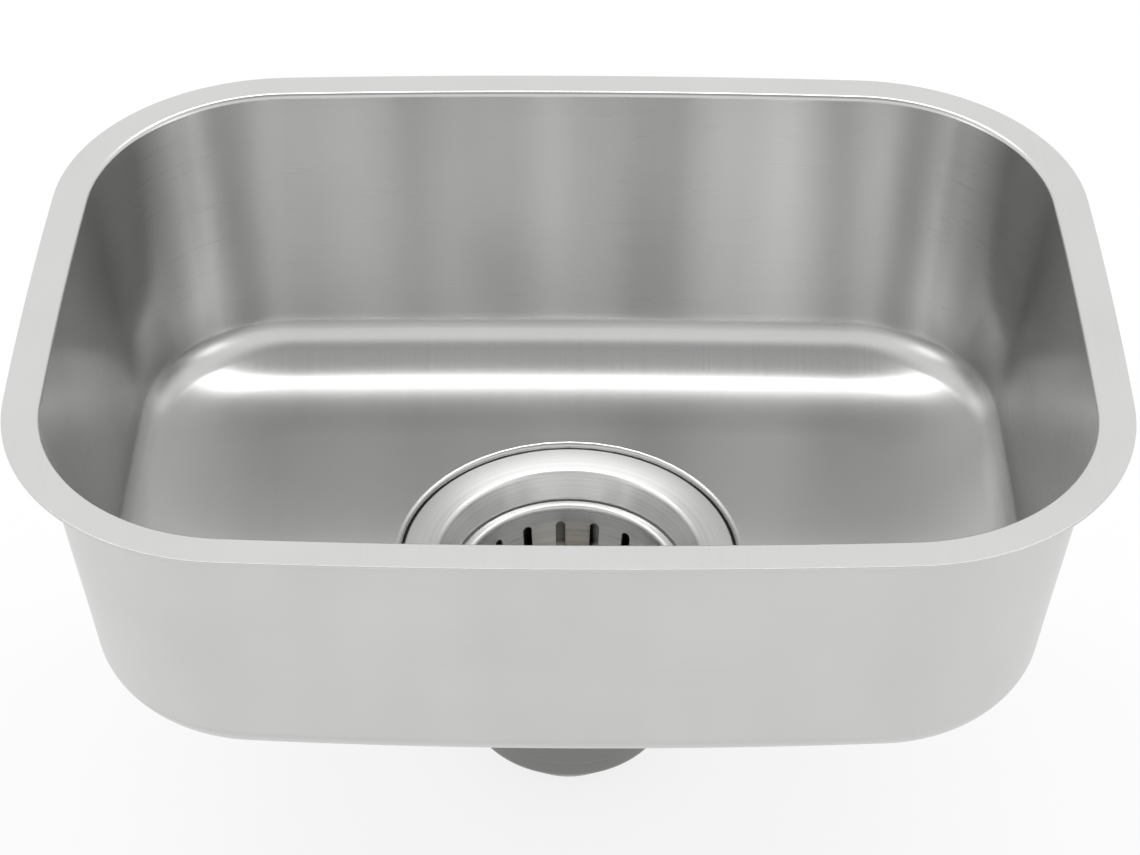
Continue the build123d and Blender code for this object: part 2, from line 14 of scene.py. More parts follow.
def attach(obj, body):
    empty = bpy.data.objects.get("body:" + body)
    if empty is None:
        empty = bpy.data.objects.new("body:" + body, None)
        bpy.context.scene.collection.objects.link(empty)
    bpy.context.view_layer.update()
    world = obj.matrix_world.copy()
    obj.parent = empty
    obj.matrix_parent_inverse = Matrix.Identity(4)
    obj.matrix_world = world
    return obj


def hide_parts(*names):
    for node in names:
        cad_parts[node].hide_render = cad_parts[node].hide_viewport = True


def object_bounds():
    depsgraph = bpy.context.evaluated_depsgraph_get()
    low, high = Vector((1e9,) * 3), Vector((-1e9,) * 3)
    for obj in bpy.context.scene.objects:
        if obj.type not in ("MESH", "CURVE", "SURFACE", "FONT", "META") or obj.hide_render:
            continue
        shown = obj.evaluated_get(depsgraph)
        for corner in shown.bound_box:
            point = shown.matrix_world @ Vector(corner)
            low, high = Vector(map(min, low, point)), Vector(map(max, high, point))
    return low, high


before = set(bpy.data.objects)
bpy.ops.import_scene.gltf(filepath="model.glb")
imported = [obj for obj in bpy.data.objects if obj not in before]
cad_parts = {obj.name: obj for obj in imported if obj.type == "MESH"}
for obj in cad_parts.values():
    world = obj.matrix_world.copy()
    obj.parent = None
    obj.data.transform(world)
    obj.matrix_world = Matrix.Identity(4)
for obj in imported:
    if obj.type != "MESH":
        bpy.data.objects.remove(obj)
cad_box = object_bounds()
print("CAD box", [[round(v, 4) for v in corner] for corner in cad_box])

MM = 0.001
ORIGIN = Vector((0, 0, 0))
UP = Vector((0, 0, 1))

# %% [markdown]
# The photograph is a studio picture from the front and above, taken with a long lens. A camera
# fitted to the rim's outline gives the angles, the distance and the lens below. The photograph
# is 1140 x 855 pixels, and the lens is given in these pixels too, as the camera's fit found it.

# %% Camera
PHOTO_WIDTH = 1140
FOCAL_PIXELS = 2931.0
CAMERA_TARGET = Vector((0.0003, 0, -0.0545))
CAMERA_DISTANCE = 0.9728
CAMERA_AZIMUTH = math.radians(0.241)
CAMERA_ELEVATION = math.radians(39.5)
CAMERA_ROLL = math.radians(0.134)

back = Vector((math.sin(CAMERA_AZIMUTH) * math.cos(CAMERA_ELEVATION),
               -math.cos(CAMERA_AZIMUTH) * math.cos(CAMERA_ELEVATION),
               math.sin(CAMERA_ELEVATION)))
right = (-back).cross(UP).normalized()
up = back.cross(right)
level_view = Matrix((right, up, back)).transposed().to_4x4()
camera_data = bpy.data.cameras.new("studio_camera")
camera_data.sensor_width = 36
camera_data.lens = FOCAL_PIXELS / PHOTO_WIDTH * camera_data.sensor_width
camera_data.clip_end = 20
camera = bpy.data.objects.new("studio_camera", camera_data)
camera.matrix_world = (Matrix.Translation(CAMERA_TARGET + CAMERA_DISTANCE * back)
                       @ level_view @ Matrix.Rotation(CAMERA_ROLL, 4, "Z"))
bpy.context.scene.collection.objects.link(camera)
bpy.context.scene.camera = camera
bpy.context.scene.view_settings.view_transform = "Standard"
print("camera at", [round(v, 3) for v in camera.location], "lens", round(camera_data.lens, 1))

# %% [markdown]
# Small helpers serve every material: one turns a colour as it is seen on a screen (sRGB hex) into
# the linear numbers that the shaders use, and one adds a node with its settings and links. Most
# sockets are given by name. A Mix node has the same names three times over, so its sockets go by
# number: 2 and 3 mix numbers, 4 and 5 directions, and 6 and 7 colours.

# %% Material helpers


def linear(hexadecimal, alpha=1.0):
    """An sRGB hex colour as the linear RGBA that Blender's sockets take."""
    shown = [int(hexadecimal[index:index + 2], 16) / 255 for index in (1, 3, 5)]
    return [c / 12.92 if c <= 0.04045 else ((c + 0.055) / 1.055) ** 2.4 for c in shown] + [alpha]


def add_node(tree, kind, settings=None, inputs=None):
    """Add a node. `inputs` maps a socket to a constant, or to another node's output."""
    made = tree.nodes.new(kind)
    for name, value in (settings or {}).items():
        setattr(made, name, value)
    for socket, value in (inputs or {}).items():
        if isinstance(value, bpy.types.NodeSocket):
            tree.links.new(value, made.inputs[socket])
        else:
            made.inputs[socket].default_value = value
    return made


def new_material(name):
    """An empty material and its node tree, with only an output."""
    material = bpy.data.materials.new(name)
    material.use_nodes = True
    tree = material.node_tree
    tree.nodes.clear()
    return material, tree, tree.nodes.new("ShaderNodeOutputMaterial")


WHITE = linear("#FFFFFF")
print("white is", WHITE, "and mid grey is", round(linear("#808080")[0], 3))

# %% [markdown]
# The studio is plain: a pale floor that runs out of sight, a white surround, and soft light from
# large panels. Brushed steel shows mostly what is around it. So the surround is a little brighter
# behind the sink than in front, and its ceiling has a darker patch above and before the sink,
# which the bowl's floor mirrors as a soft grey.

# %% Surround
FRONT_STRENGTH, BACK_STRENGTH = 0.94, 1.05
FRONT_ENDS_AT, BACK_STARTS_AT = -0.3, 0.5       # along Y, in a direction one unit long
PATCH_ELEVATION = math.radians(80)
PATCH_MIDDLE = (0, -math.cos(PATCH_ELEVATION), math.sin(PATCH_ELEVATION))
PATCH_EDGE, PATCH_CORE = 0.8, 0.96              # cosines of the angles from its middle
PATCH_DROP = 0.5

world = bpy.data.worlds.new("white_surround")
bpy.context.scene.world = world
world.use_nodes = True
tree = world.node_tree
tree.nodes.clear()
out = tree.nodes.new("ShaderNodeOutputWorld")
place = add_node(tree, "ShaderNodeTexCoord")
heading = add_node(tree, "ShaderNodeSeparateXYZ", None, {0: place.outputs["Generated"]})
walls = add_node(tree, "ShaderNodeMapRange", {"interpolation_type": "SMOOTHSTEP"},
                 {"Value": heading.outputs[1],
                  "From Min": FRONT_ENDS_AT, "From Max": BACK_STARTS_AT,
                  "To Min": FRONT_STRENGTH, "To Max": BACK_STRENGTH})
to_patch = add_node(tree, "ShaderNodeVectorMath", {"operation": "DOT_PRODUCT"},
                    {0: place.outputs["Generated"], 1: PATCH_MIDDLE})
patch = add_node(tree, "ShaderNodeMapRange", {"interpolation_type": "SMOOTHSTEP"},
                 {"Value": to_patch.outputs["Value"],
                  "From Min": PATCH_EDGE, "From Max": PATCH_CORE,
                  "To Min": 0.0, "To Max": PATCH_DROP})
strength = add_node(tree, "ShaderNodeMath", {"operation": "SUBTRACT"},
                    {0: walls.outputs[0], 1: patch.outputs[0]})
white = add_node(tree, "ShaderNodeBackground", None,
                 {"Color": WHITE, "Strength": strength.outputs[0]})
tree.links.new(white.outputs[0], out.inputs["Surface"])
print("surround from", FRONT_STRENGTH, "to", BACK_STRENGTH)

# %% [markdown]
# A long softbox hangs high behind the sink. The sweep at the foot of the back wall mirrors it as
# the bright band that runs across the bowl. Two weak panels at the sides lighten the ends.

# %% Panels


def add_panel(name, place, aim, size, power):
    """A soft light panel at `place`, turned to `aim`. Lengths are metres, power is watts."""
    light = bpy.data.lights.new(name, "AREA")
    light.shape = "RECTANGLE"
    light.size, light.size_y = size
    light.energy = power
    panel = bpy.data.objects.new(name, light)
    bpy.context.scene.collection.objects.link(panel)
    panel.location = place
    panel.rotation_euler = (Vector(aim) - Vector(place)).to_track_quat("-Z", "Y").to_euler()
    print(name, "at", place, "with", power, "W")


SIDE_AIM, SIDE_SIZE, SIDE_POWER = (0, 0, -0.05), (0.45, 0.5), 0.9
add_panel("overhead_softbox", (0, 0.8, 2.0), (0, 0.8, 0), (2.4, 0.62), 17)
add_panel("left_softbox", (-1.1, -0.45, 0.3), SIDE_AIM, SIDE_SIZE, SIDE_POWER)
add_panel("right_softbox", (1.1, -0.45, 0.3), SIDE_AIM, SIDE_SIZE, SIDE_POWER)

# %% [markdown]
# The floor is matt white paper. To the camera, and in the steel's reflections, most of it shows
# as plain white, as a studio's paper does once it is lit on its own. The rest is paper lit by the
# scene, which keeps the sink's soft shadow.

# %% Floor
FLOOR_HALF, FLOOR_GAP, OWN_WHITE = 6, 0.0005, 0.8
floor_z = cad_box[0][2] - FLOOR_GAP
bm = bmesh.new()
bmesh.ops.create_grid(bm, x_segments=1, y_segments=1, size=FLOOR_HALF)
bmesh.ops.translate(bm, verts=bm.verts, vec=(0, 0, floor_z))
mesh = bpy.data.meshes.new("studio_floor")
bm.to_mesh(mesh)
bm.free()
floor = bpy.data.objects.new("studio_floor", mesh)
bpy.context.scene.collection.objects.link(floor)
material, tree, out = new_material("white_paper_floor")
paper = add_node(tree, "ShaderNodeBsdfPrincipled", None,
                 {"Base Color": linear("#F4F4F4"), "Roughness": 0.9, "Specular IOR Level": 0.2})
rays = add_node(tree, "ShaderNodeLightPath")
seen = add_node(tree, "ShaderNodeMath", {"operation": "MAXIMUM"},
                {0: rays.outputs["Is Camera Ray"], 1: rays.outputs["Is Glossy Ray"]})
seen = add_node(tree, "ShaderNodeMath", {"operation": "MAXIMUM"},
                {0: seen.outputs[0], 1: rays.outputs["Is Transmission Ray"]})
white_share = add_node(tree, "ShaderNodeMath", {"operation": "MULTIPLY"},
                       {0: seen.outputs[0], 1: OWN_WHITE})
glow = add_node(tree, "ShaderNodeEmission", None, {"Color": WHITE, "Strength": 1.0})
mixed = add_node(tree, "ShaderNodeMixShader", None,
                 {0: white_share.outputs[0], 1: paper.outputs[0], 2: glow.outputs[0]})
tree.links.new(mixed.outputs[0], out.inputs["Surface"])
mesh.materials.append(material)
print("floor at", round(floor_z, 4))

# %% [markdown]
# The bowl starts as one flat blank of sheet. A press gives it the same section all round: flat
# flange, rolled lip, leaning wall, and a tight radius that sweeps out into the floor. So the
# section is drawn once, as a wire in the XZ plane whose corners a vertex bevel rounds, and then
# swung round three centres: those of the bowed end, the corner and the bowed side. Two mirrors
# make it whole. A box with bevelled edges would be quicker, but its ends and sides would be
# straight, where these bow out by a few millimetres.

# %% Draw a rounded section


def draw_section(corners, closed=False, step=7.5):
    """A wire in the XZ plane through (radius, height) corners in mm. A third number rounds one.

    Rounded corners get one segment for every `step` degrees that they turn through.
    """
    bm = bmesh.new()
    verts = [bm.verts.new((corner[0] * MM, 0, corner[1] * MM)) for corner in corners]
    for first, second in zip(verts, verts[1:] + (verts[:1] if closed else [])):
        bm.edges.new((first, second))
    for vert, corner in zip(verts, corners):
        if len(corner) == 3:
            sides = [edge.other_vert(vert).co - vert.co for edge in vert.link_edges]
            turn = math.pi - sides[0].angle(sides[1])
            bmesh.ops.bevel(bm, geom=[vert], offset=corner[2] * MM * math.tan(turn / 2),
                            affect="VERTICES", segments=math.ceil(math.degrees(turn) / step),
                            profile=0.5, material=-1)
    return bm


def swing(bm, geom, centre, angle, steps):
    """Spin part of a mesh about a vertical axis, and return the far end."""
    return bmesh.ops.spin(bm, geom=geom, cent=centre, axis=UP, angle=angle, steps=steps,
                          dvec=ORIGIN, use_merge=False)["geom_last"]


def make_piece(bm, name, body, *stands_for, slot, smooth_angle=30):
    """Close a bmesh into an object that rides on a body and stands for CAD nodes."""
    mesh = bpy.data.meshes.new(name)
    bm.to_mesh(mesh)
    bm.free()
    piece = bpy.data.objects.new(name, mesh)
    bpy.context.scene.collection.objects.link(piece)
    mesh.shade_smooth()
    mesh.set_sharp_from_angle(angle=math.radians(smooth_angle))
    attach(piece, body)
    if stands_for:
        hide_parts(*stands_for)
    print(name, len(mesh.polygons), "faces")
    return piece


# %% Section of the bowl
RIM_HALF = Vector((173.8, 130.0))
END_BOW_R, SIDE_BOW_R, CORNER_R = 2170.0, 2340.0, 75.2
FLANGE_WIDTH, LIP_R, SHEET = 11.4, 2.0, 1.2
BOWL_DEPTH, WALL_LEAN = 110.5, math.tan(math.radians(6.5))
FOOT_R, FLOOR_SWEEP_R = 15.0, 70.0      # the wall turns in tightly, then sweeps out to the floor
SWEEP_RISE, SWEEP_REACH = 12.5, 25.7    # the straight line between both, before rounding
SECTION_END = 66                        # on the flat floor, well inside the sweep
WALL_ROWS = 12

# The first number is the inset from the rim's edge, the second the height above the rim.
foot_inset = FLANGE_WIDTH + BOWL_DEPTH * WALL_LEAN - SWEEP_RISE * WALL_LEAN
bowl_section = [(0, 0), (FLANGE_WIDTH, 0, LIP_R),
                (foot_inset, SWEEP_RISE - BOWL_DEPTH, FOOT_R),
                (foot_inset + SWEEP_REACH, -BOWL_DEPTH, FLOOR_SWEEP_R),
                (SECTION_END, -BOWL_DEPTH)]
bm = draw_section([(RIM_HALF.x - corner[0], *corner[1:]) for corner in bowl_section], step=5)
wall = max(bm.edges, key=lambda edge: edge.calc_length())
bmesh.ops.subdivide_edges(bm, edges=[wall], cuts=WALL_ROWS - 1)
print("section", len(bm.verts), "points")

# %% Swing the section round the rim
END_STEPS, CORNER_STEPS, SIDE_STEPS = 6, 30, 10
end_centre = Vector((RIM_HALF.x - END_BOW_R, 0))
side_centre = Vector((0, RIM_HALF.y - SIDE_BOW_R))
apart = side_centre - end_centre
end_reach, side_reach = END_BOW_R - CORNER_R, SIDE_BOW_R - CORNER_R
along = (apart.length_squared + end_reach ** 2 - side_reach ** 2) / (2 * apart.length)
across = math.sqrt(end_reach ** 2 - along ** 2)
corner_centre = end_centre + along * apart.normalized() + across * apart.orthogonal().normalized()
end_turn = math.atan2(*(corner_centre - end_centre).yx)
side_turn = math.pi / 2 - math.atan2(*(corner_centre - side_centre).yx)
print("corner centre", [round(v, 2) for v in corner_centre])

last = bm.verts[:] + bm.edges[:]
for centre, turn, steps in ((end_centre, end_turn, END_STEPS),
                            (corner_centre, math.pi / 2 - end_turn - side_turn, CORNER_STEPS),
                            (side_centre, side_turn, SIDE_STEPS)):
    last = swing(bm, last, (centre * MM).to_3d(), turn, steps)
for axis in "XY":
    bmesh.ops.mirror(bm, geom=bm.verts[:] + bm.edges[:] + bm.faces[:], axis=axis, merge_dist=1e-6)
print("pressed ring", len(bm.faces), "faces")

# %% [markdown]
# In the middle of the floor the press rolls the sheet down into a round recess, where the
# strainer's flange lies. The pressed ring ends in one loop of open edges. That loop is extruded
# inwards ring by ring, a little rounder each time, until it is the recess's circle, and then down
# the recess's own section. It keeps every edge running on, where a bridge between two loops of
# different shape would leave long twisted faces.

# %% Floor and recess
RECESS_R, RECESS_DEPTH, DRAIN_HOLE_R, DISH_R = 58.0, 4.6, 46.3, 6500.0
RECESS_RUN, RECESS_LIP_R, RECESS_FOOT_R = 4, 2.0, 1.5
FLOOR_RINGS, FLOOR_BELOW = 8, -100
recess_floor = -BOWL_DEPTH - RECESS_DEPTH


def grow_loop(bm, edges, place):
    """Extrude a boundary loop, put each new vertex where `place` says, and return the new loop."""
    made = bmesh.ops.extrude_edge_only(bm, edges=edges)["geom"]
    for vert in (item for item in made if isinstance(item, bmesh.types.BMVert)):
        vert.co = place(vert.co)
    return [item for item in made if isinstance(item, bmesh.types.BMEdge) and item.is_boundary]


def on_circle(co, radius, height):
    """The point on a level circle round the drain that lies in the same direction as `co`."""
    return (co.xy.normalized() * radius).to_3d() + UP * height


recess = draw_section([(RECESS_R + RECESS_RUN, -BOWL_DEPTH),
                       (RECESS_R, -BOWL_DEPTH, RECESS_LIP_R),
                       (RECESS_R, recess_floor, RECESS_FOOT_R),
                       (DRAIN_HOLE_R, recess_floor)])
recess_points = sorted((vert.co.x, vert.co.z) for vert in recess.verts)[::-1]
recess.free()
loop = [edge for edge in bm.edges
        if edge.is_boundary and edge.verts[0].co.z < FLOOR_BELOW * MM]
for ring in range(1, FLOOR_RINGS):
    share = 1 / (FLOOR_RINGS - ring + 1)
    loop = grow_loop(bm, loop, lambda co: co.lerp(on_circle(co, recess_points[0][0], co.z), share))
for radius, height in recess_points:
    loop = grow_loop(bm, loop, lambda co: on_circle(co, radius, height))
bmesh.ops.recalc_face_normals(bm, faces=bm.faces)
flange_face = max(bm.faces, key=lambda face: face.calc_center_median().z)
if flange_face.normal.z < 0:
    bmesh.ops.reverse_faces(bm, faces=bm.faces)
print("bowl with recess", len(bm.faces), "faces")

# %% [markdown]
# The floor is dished, so that water runs to the drain: its points rise with the square of their
# distance from the middle. The rise fades in down the wall, and out into the recess. Solidify
# then gives the sheet its thickness on the outside, and a small bevel breaks its cut edges.

# %% Dish and sheet
DISH_FROM, DISH_FULL = 30, 80           # depths between which the rise fades in
BOWL_EDGE = 0.25                        # the width of the broken edge


def ramp(value, start, end):
    """0 at start, 1 at end, smooth between."""
    t = min(max((value - start) / (end - start), 0), 1)
    return t * t * (3 - 2 * t)


for vert in bm.verts:
    rise = vert.co.xy.length_squared / (2 * DISH_R * MM)
    depth = -vert.co.z / MM
    vert.co.z += (rise * ramp(depth, DISH_FROM, DISH_FULL)
                  * ramp(-depth, recess_floor, -BOWL_DEPTH))
bowl = make_piece(bm, "pressed_bowl", "sink", "bowl", slot="bowl_steel")


def give_thickness(piece, thickness, edge_name, edge_width):
    """Solidify a piece outwards, and bevel its cut edges, both in mm."""
    sheet = piece.modifiers.new("sheet", "SOLIDIFY")
    sheet.thickness, sheet.offset, sheet.use_even_offset = thickness * MM, -1, True
    edge = piece.modifiers.new(edge_name, "BEVEL")
    edge.width, edge.segments, edge.angle_limit = edge_width * MM, 2, math.radians(50)
    edge.harden_normals = True
    return sheet


bowl_sheet = give_thickness(bowl, SHEET, "deburred_edge", BOWL_EDGE)
print("sheet", SHEET, "mm")

# %% [markdown]
# The bowl is satin stainless steel, brushed with belts after pressing. The belts run level along
# the walls and from front to back over the floor. A fine scratch mirrors light only across
# itself, so highlights are drawn out at a right angle to the grain: up and down on the walls,
# sideways on the floor. The Principled shader's Anisotropic socket does that, and its Tangent is
# the direction in which highlights are drawn out. The grain itself is a noise, stretched along
# the scratches. Upright bands of painted reflection, lighter and darker, lie on the walls, and
# most strongly in the corners.

# %% Painted reflections on the walls
# Painted reflections: a noise draws soft upright bands of lighter and darker steel colour.
REFLECTION_BANDS_PER_METRE, REFLECTION_BANDS_MOVED = (26, 12, 2), (0.31, 0, 0)     # some 40 mm wide along the back wall


def painted_wall_reflections(tree, place, end_facing, reflection_change, corner_reflections):
    """Painted reflections: soft upright bands of lighter and darker colour on the walls, as a
    factor on the steel's colour.

    The last argument gives that factor against how far a face looks to the bowl's ends, 0 to 1.
    """
    reflection_place = add_node(tree, "ShaderNodeMapping", None,
                          {"Vector": place.outputs["Object"], "Location": REFLECTION_BANDS_MOVED,
                           "Scale": REFLECTION_BANDS_PER_METRE})
    reflection_noise = add_node(tree, "ShaderNodeTexNoise", None,
                     {"Vector": reflection_place.outputs[0], "Scale": 1.0, "Detail": 1.0})
    reflection_band = add_node(tree, "ShaderNodeMapRange", None,
                         {"Value": reflection_noise.outputs[0], "From Min": 0.3, "From Max": 0.7,
                          "To Min": 1 - reflection_change, "To Max": 1 + reflection_change})
    corner_reflection = add_node(tree, "ShaderNodeValToRGB", None, {0: end_facing.outputs[0]})
    stops = corner_reflection.color_ramp
    stops.interpolation = "B_SPLINE"
    for position, tone in corner_reflections:
        stops.elements.new(position).color = (tone, tone, tone, 1)
    stops.elements.remove(stops.elements[-1])
    stops.elements.remove(stops.elements[0])
    return add_node(tree, "ShaderNodeMath", {"operation": "MULTIPLY"},
                    {0: reflection_band.outputs[0], 1: corner_reflection.outputs[0]})


# %% Brushed steel
GRAIN_ACROSS, GRAIN_ALONG = 1600, 18    # per metre: 0.6 mm wide and 55 mm long. The real grain is
#                                         about a tenth of that width, too fine for the render.
CLOUDS_PER_METRE = 28.0                 # faint uneven patches some 35 mm wide
TURN_FROM, TURN_TO = 0.22, 0.42         # how level the steel is where the grain changes its way
FLOOR_TONE = 0.9
WALL_ROUGHER, GRAIN_ROUGHER, GRAIN_TONE = 0.05, 0.03, 0.03
GRAIN_HEIGHT, GRAIN_RELIEF = 0.2, 0.028     # mm, and the share of it that shows


def brushed_steel(name, colour_hex, rough, stretch, reflection_change, corner_reflections):
    """Steel with a fine straight grain: level on the walls, front to back on the floor."""
    material, tree, out = new_material(name)
    place = add_node(tree, "ShaderNodeTexCoord")
    geometry = add_node(tree, "ShaderNodeNewGeometry")
    facing = add_node(tree, "ShaderNodeSeparateXYZ", None, {0: geometry.outputs["Normal"]})
    end_facing, level = (add_node(tree, "ShaderNodeMath", {"operation": "ABSOLUTE"},
                                  {0: facing.outputs[axis]}) for axis in (0, 2))
    floor_share = add_node(tree, "ShaderNodeMapRange", {"interpolation_type": "SMOOTHSTEP"},
                           {"Value": level.outputs[0],
                            "From Min": TURN_FROM, "From Max": TURN_TO})
    wall_grain, floor_grain = (add_node(tree, "ShaderNodeMapping", None,
                                        {"Vector": place.outputs["Object"], "Scale": scale})
                               for scale in ((GRAIN_ALONG, GRAIN_ALONG, GRAIN_ACROSS),
                                             (GRAIN_ACROSS, GRAIN_ALONG, GRAIN_ALONG)))
    grain_place = add_node(tree, "ShaderNodeMix", {"data_type": "VECTOR"},
                           {0: floor_share.outputs[0], 4: wall_grain.outputs[0],
                            5: floor_grain.outputs[0]})
    grain = add_node(tree, "ShaderNodeTexNoise", None,
                     {"Vector": grain_place.outputs[1], "Scale": 1.0, "Detail": 4.0,
                      "Roughness": 0.7})
    clouds = add_node(tree, "ShaderNodeTexNoise", None,
                      {"Vector": place.outputs["Object"], "Scale": CLOUDS_PER_METRE,
                       "Detail": 3.0})
    even_rough = add_node(tree, "ShaderNodeMapRange", None,
                          {"Value": floor_share.outputs[0],
                           "To Min": rough + WALL_ROUGHER, "To Max": rough})
    rough_change = add_node(tree, "ShaderNodeMapRange", None,
                            {"Value": grain.outputs[0], "From Min": 0.2, "From Max": 0.8,
                             "To Min": -GRAIN_ROUGHER, "To Max": GRAIN_ROUGHER})
    roughness = add_node(tree, "ShaderNodeMath", {"operation": "ADD"},
                         {0: even_rough.outputs[0], 1: rough_change.outputs[0]})
    patches = add_node(tree, "ShaderNodeMath", {"operation": "ADD"},
                       {0: grain.outputs[0], 1: clouds.outputs[0]})
    grain_tone = add_node(tree, "ShaderNodeMapRange", None,
                          {"Value": patches.outputs[0], "From Min": 0.6, "From Max": 1.4,
                           "To Min": 1 - GRAIN_TONE, "To Max": 1 + GRAIN_TONE})
    # Painted reflections on the walls, as upright bands and corner bands. The floor takes
    # FLOOR_TONE.
    wall_reflections = painted_wall_reflections(tree, place, end_facing, reflection_change, corner_reflections)
    place_tone = add_node(tree, "ShaderNodeMix", None,
                          {0: floor_share.outputs[0], 2: wall_reflections.outputs[0], 3: FLOOR_TONE})
    tone = add_node(tree, "ShaderNodeMath", {"operation": "MULTIPLY"},
                    {0: grain_tone.outputs[0], 1: place_tone.outputs[0]})
    colour = add_node(tree, "ShaderNodeMix", {"data_type": "RGBA", "blend_type": "MULTIPLY"},
                      {0: 1.0, 6: linear(colour_hex), 7: tone.outputs[0]})
    across_grain = add_node(tree, "ShaderNodeMix", {"data_type": "VECTOR"},
                            {0: floor_share.outputs[0], 4: (0, 0, 1), 5: (1, 0, 0)})
    bump = add_node(tree, "ShaderNodeBump", None,
                    {"Height": grain.outputs[0], "Strength": GRAIN_RELIEF,
                     "Distance": GRAIN_HEIGHT * MM})
    steel = add_node(tree, "ShaderNodeBsdfPrincipled", None,
                     {"Base Color": colour.outputs[2], "Metallic": 1.0,
                      "Roughness": roughness.outputs[0], "Anisotropic": stretch,
                      "Tangent": across_grain.outputs[1], "Normal": bump.outputs[0]})
    tree.links.new(steel.outputs[0], out.inputs["Surface"])
    return material


# Brushed stainless steel, inside: a blurred grey mirror, in which the light draws long bands.
# Painted reflections add upright bands, up to a fifth lighter and darker.
# Painted reflections in the corners: by how far a face looks to the bowl's ends, the colour is
# made lighter and darker in upright bands.
CORNER_REFLECTIONS = [(0.001, 1.0), (0.22, 0.98), (0.4, 0.5), (0.6, 1.3), (0.78, 0.52), (0.999, 0.6)]
inside = brushed_steel("brushed_steel_inside", "#DADAD9", 0.24, 0.75, 0.2, CORNER_REFLECTIONS)
# Satin stainless steel, outside: brushed more coarsely, so it is even, pale and hardly mirrors.
# Its bands of painted reflection are faint, 2 % either way, and its corners have none.
EVEN_TONES = [(0.001, 1.0), (0.999, 1.0)]
outside = brushed_steel("satin_steel_outside", "#D0D0CF", 0.32, 0.6, 0.02, EVEN_TONES)
for finish in (inside, outside):
    bowl.data.materials.append(finish)
bowl_sheet.material_offset = bowl_sheet.material_offset_rim = 1
print("bowl finished in", inside.name, "and", outside.name)

# %% [markdown]
# The strainer body is one turned and spun piece: a flange that lies in the recess, a mouth that
# funnels down to a ledge for the basket, a threaded throat, and a lower cup that ends in a cone.
# All of that is one closed section swung once round Z. The corners are the CAD model's own, some
# of them eased by half a millimetre or so.

# %% Turn a piece
TURN_STEPS = 144


def turn_piece(corners):
    """Swing a closed section, given as corners for draw_section, once round the drain's axis."""
    bm = draw_section(corners, closed=True, step=10)
    bmesh.ops.spin(bm, geom=bm.verts[:] + bm.edges[:], cent=ORIGIN, axis=UP, angle=2 * math.pi,
                   steps=TURN_STEPS, dvec=ORIGIN, use_merge=True)
    bmesh.ops.remove_doubles(bm, verts=bm.verts, dist=1e-7)
    bmesh.ops.recalc_face_normals(bm, faces=bm.faces)
    return bm


# %% Strainer body
STRAINER_WALL, FLANGE_R, FLANGE_RISE, FLANGE_TOP = 1.2, 57.15, 0.1, -112.4
GASKET_IN_R = 47.3
POCKET_R, POCKET_TOP, LEDGE_Z, THROAT_R = 40.9, -120.6, -123.4, 39.0
THROAT_END, CUP_R, CUP_TOP, STRAINER_BOTTOM = -139.7, 34.8, -143.9, -197.7
THREAD_R, CONE_EDGE_R, CONE_HEIGHT = 42.9, 22.3, 15.06
MOUTH_LEAN, THREAD_END_LEAN = math.radians(30.6), math.radians(45)
CONE_LEAN = math.atan2(CUP_R + STRAINER_WALL - CONE_EDGE_R, CONE_HEIGHT)


def flange_top(radius):
    """The flange rises a little towards its edge."""
    return FLANGE_TOP + FLANGE_RISE * (radius - GASKET_IN_R)


def mouth_corner(skin=0):
    """Where the funnel of the mouth meets the flange, on its top or `skin` below it."""
    pocket = POCKET_R + skin / math.cos(MOUTH_LEAN)
    rise = FLANGE_TOP - FLANGE_RISE * GASKET_IN_R - skin - POCKET_TOP
    radius = (pocket + rise * math.tan(MOUTH_LEAN)) / (1 - FLANGE_RISE * math.tan(MOUTH_LEAN))
    return radius, flange_top(radius) - skin


cone_in_r = CONE_EDGE_R - STRAINER_WALL / math.cos(CONE_LEAN)
mouth_out_r = POCKET_R + STRAINER_WALL / math.cos(MOUTH_LEAN)
step_out = THROAT_END - THROAT_R - STRAINER_WALL / math.cos(THREAD_END_LEAN)
bm = turn_piece([
    (cone_in_r, STRAINER_BOTTOM),
    (CUP_R, STRAINER_BOTTOM + (CUP_R - cone_in_r) / math.tan(CONE_LEAN), 3.0),
    (CUP_R, CUP_TOP, 2.0),
    (THROAT_R, THROAT_END, 2.0),
    (THROAT_R, LEDGE_Z, 0.5),
    (POCKET_R, LEDGE_Z),
    (POCKET_R, POCKET_TOP, 0.6),
    (*mouth_corner(), 2.6),
    (FLANGE_R, flange_top(FLANGE_R), 0.5),
    (FLANGE_R, flange_top(FLANGE_R) - STRAINER_WALL, 0.5),
    (*mouth_corner(STRAINER_WALL), 1.4),
    (THREAD_R, POCKET_TOP + (THREAD_R - mouth_out_r) / math.tan(MOUTH_LEAN)),
    (THREAD_R, step_out + THREAD_R),
    (CUP_R + STRAINER_WALL, step_out + CUP_R + STRAINER_WALL, 2.0),
    (CUP_R + STRAINER_WALL, STRAINER_BOTTOM + CONE_HEIGHT, 4.2),
    (CONE_EDGE_R, STRAINER_BOTTOM)])
strainer = make_piece(bm, "turned_strainer_body", "sink", "strainer_body", slot="strainer_steel")

# %% [markdown]
# Under the flange lies a ring of black rubber. It is drawn on outwards as a black lip that fills
# the foot of the gap round the flange: painted shade, standing in for the shadow in that gap.

